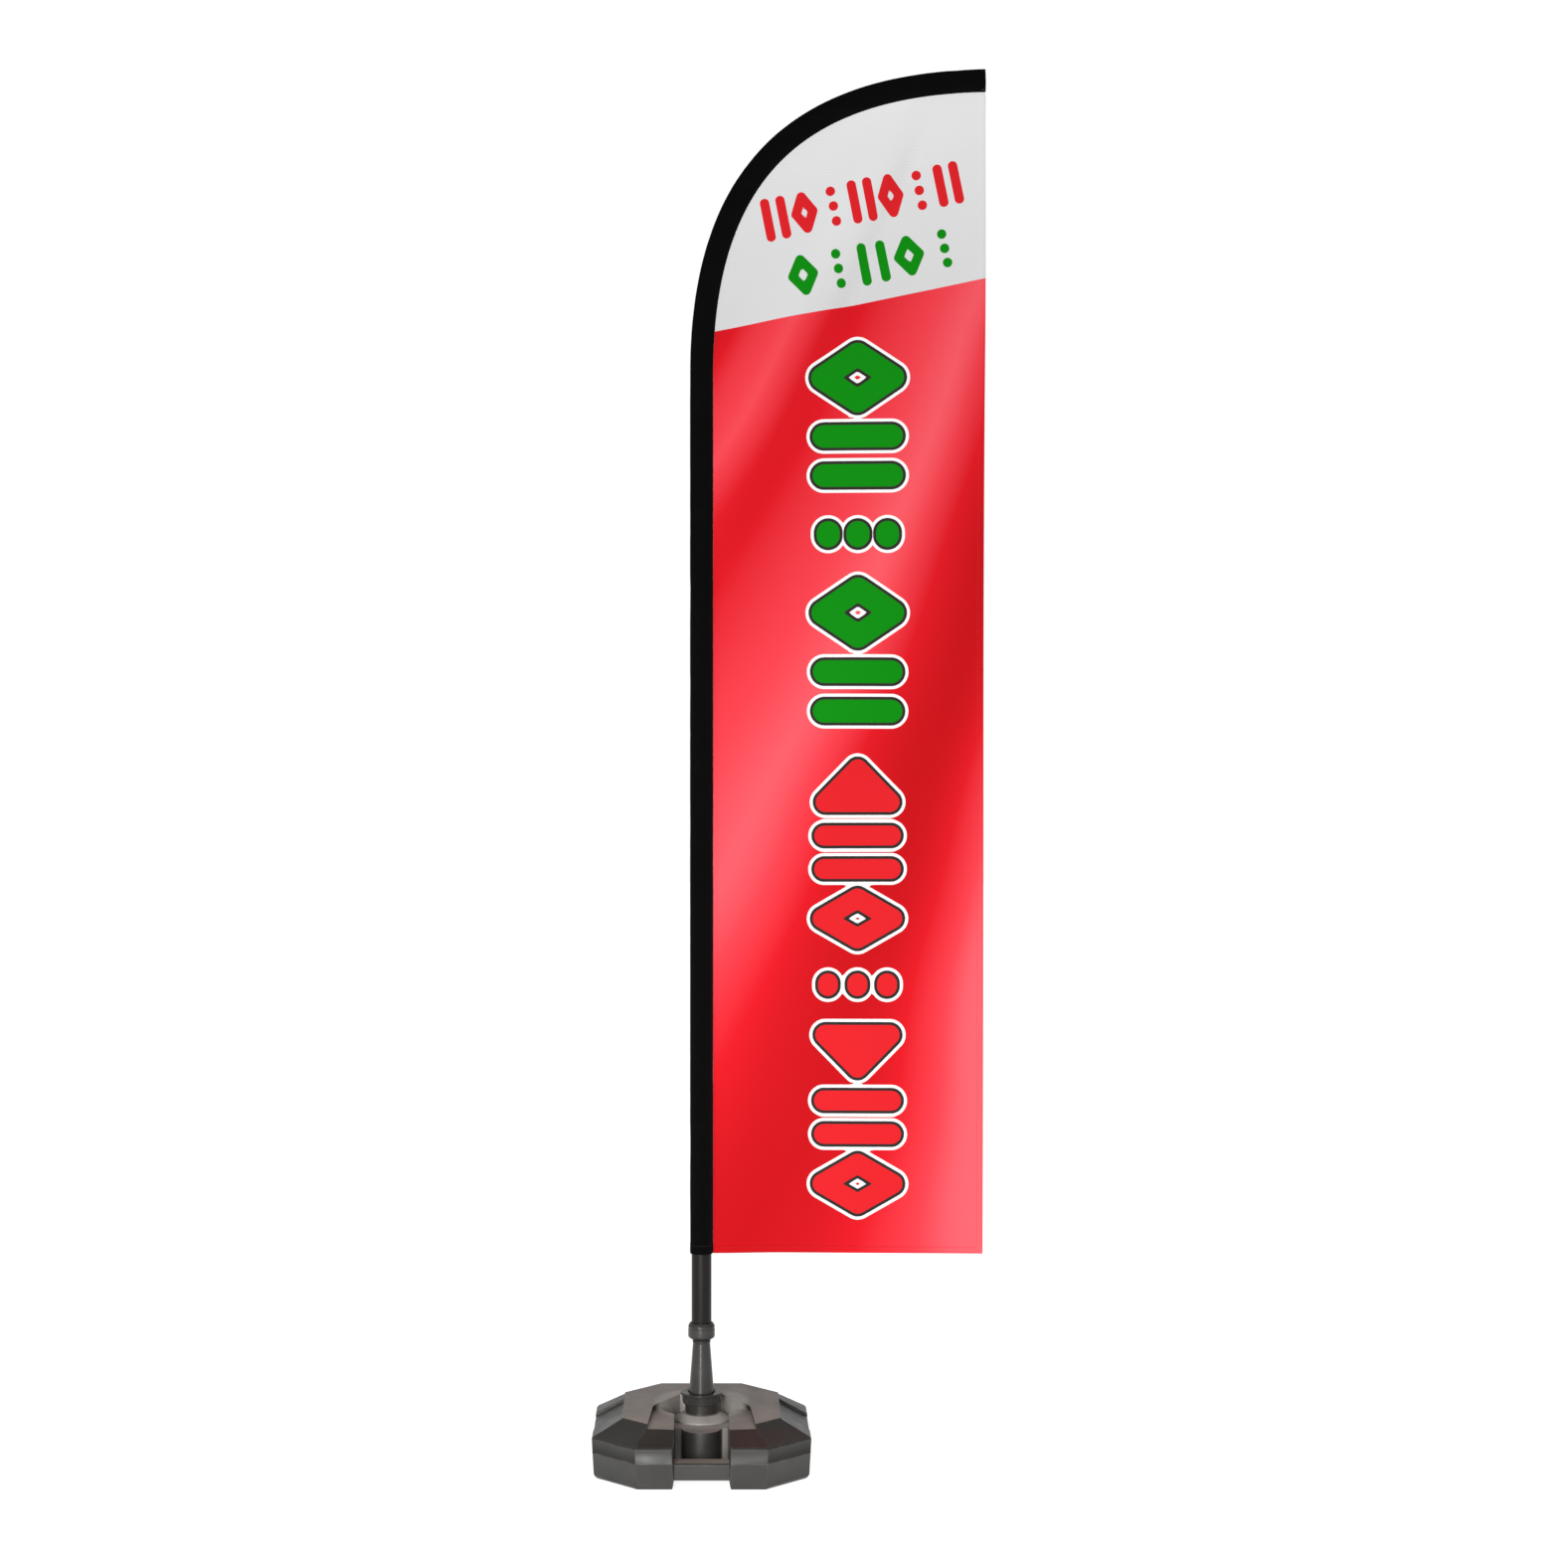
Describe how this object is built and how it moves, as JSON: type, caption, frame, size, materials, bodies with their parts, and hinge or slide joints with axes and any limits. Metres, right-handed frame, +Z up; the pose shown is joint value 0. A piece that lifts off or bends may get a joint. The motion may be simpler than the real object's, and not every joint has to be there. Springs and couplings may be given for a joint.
{
  "type": "feather flag with pole",
  "caption": "Free-standing feather flag: printed fabric on a jointed pole with a bending whip, turning on a spindle in an octagonal water-filled base with a carrying handle.",
  "frame": {"origin": "on the floor, at the pole's axis, in the middle of the tank's underside", "axes": "+Z up along the pole, +X from the pole towards the fly edge of the flag, -Y towards the carrying handle at the front"},
  "size_m": [0.7869, 0.431, 2.8009],
  "materials": {
    "tank_plastic": "blow-moulded black polyethylene, fine moulded grain with a satin sheen",
    "post_plastic": "injection-moulded black polypropylene, semi-gloss",
    "bearing_nylon": "natural turned nylon",
    "gasket": "matt black rubber",
    "steel": "zinc-plated turned steel",
    "pole_tube": "drawn aluminium tube, black anodised",
    "fibreglass": "pultruded glass fibre, dark resin",
    "sleeve_cloth": "heavy black polyester, plain weave, double stitched",
    "flag_cloth": "warp-knitted printed polyester, white head and red field"
  },
  "bodies": {
    "base": {"tank": "tank_plastic", "post": "post_plastic", "collar_cup": "post_plastic", "spindle": "steel", "spindle_washer": "steel", "spindle_nut": "steel", "thrust_washer": "bearing_nylon"},
    "ring_washer": {"slip_washer": "bearing_nylon"},
    "lock_ring": {"lock_ring": "post_plastic"},
    "cap_seal": {"filler_gasket": "gasket"},
    "filler_cap": {"filler_cap": "post_plastic"},
    "swivel": {"swivel_bush": "bearing_nylon"},
    "lower_pole": {"lower_tube": "pole_tube", "guide_bush": "bearing_nylon", "lower_reducer": "post_plastic", "lower_rivet_back": "steel", "lower_rivet_front": "steel"},
    "middle_pole": {"middle_tube": "pole_tube", "middle_reducer": "post_plastic", "middle_rivet_back": "steel", "middle_rivet_front": "steel"},
    "flag": {"whip": "fibreglass", "tip_cap": "post_plastic", "pole_sleeve": "sleeve_cloth", "sleeve_elastic": "sleeve_cloth", "tip_pocket": "sleeve_cloth", "flag_panel": "flag_cloth"}
  },
  "joints": [
    {"name": "pole_spin", "type": "hinge", "parent": "base", "child": "swivel", "pos_m": [0, 0, 0.2553], "axis": [0, 0, 1], "continuous": true},
    {"name": "pole_lift", "type": "slide", "parent": "swivel", "child": "lower_pole", "axis": [0, 0, 1], "range_m": [0, 0.27]},
    {"name": "middle_pull", "type": "slide", "parent": "lower_pole", "child": "middle_pole", "axis": [0, 0, 1], "range_m": [0, 0.17]},
    {"name": "whip_pull", "type": "slide", "parent": "middle_pole", "child": "flag", "axis": [0, 0, 1], "range_m": [0, 0.17]},
    {"name": "lock_ring_turn", "type": "hinge", "parent": "ring_washer", "child": "lock_ring", "pos_m": [0, 0, 0.1386], "axis": [0, 0, 1], "range_deg": [0, 1080]},
    {"name": "lock_ring_rise", "type": "slide", "parent": "base", "child": "ring_washer", "axis": [0, 0, 1], "range_m": [0, 0.009]},
    {"name": "filler_cap_turn", "type": "hinge", "parent": "cap_seal", "child": "filler_cap", "pos_m": [0, 0.112, 0.125], "axis": [0, 0, 1], "range_deg": [0, 720]},
    {"name": "filler_cap_rise", "type": "slide", "parent": "base", "child": "cap_seal", "axis": [0, 0, 1], "range_m": [0, 0.008]}
  ],
  "couplings": [
    {"joint": "lock_ring_rise", "follows": "lock_ring_turn", "m_per_rad": 0.000477},
    {"joint": "filler_cap_rise", "follows": "filler_cap_turn", "m_per_rad": 0.000636}
  ]
}
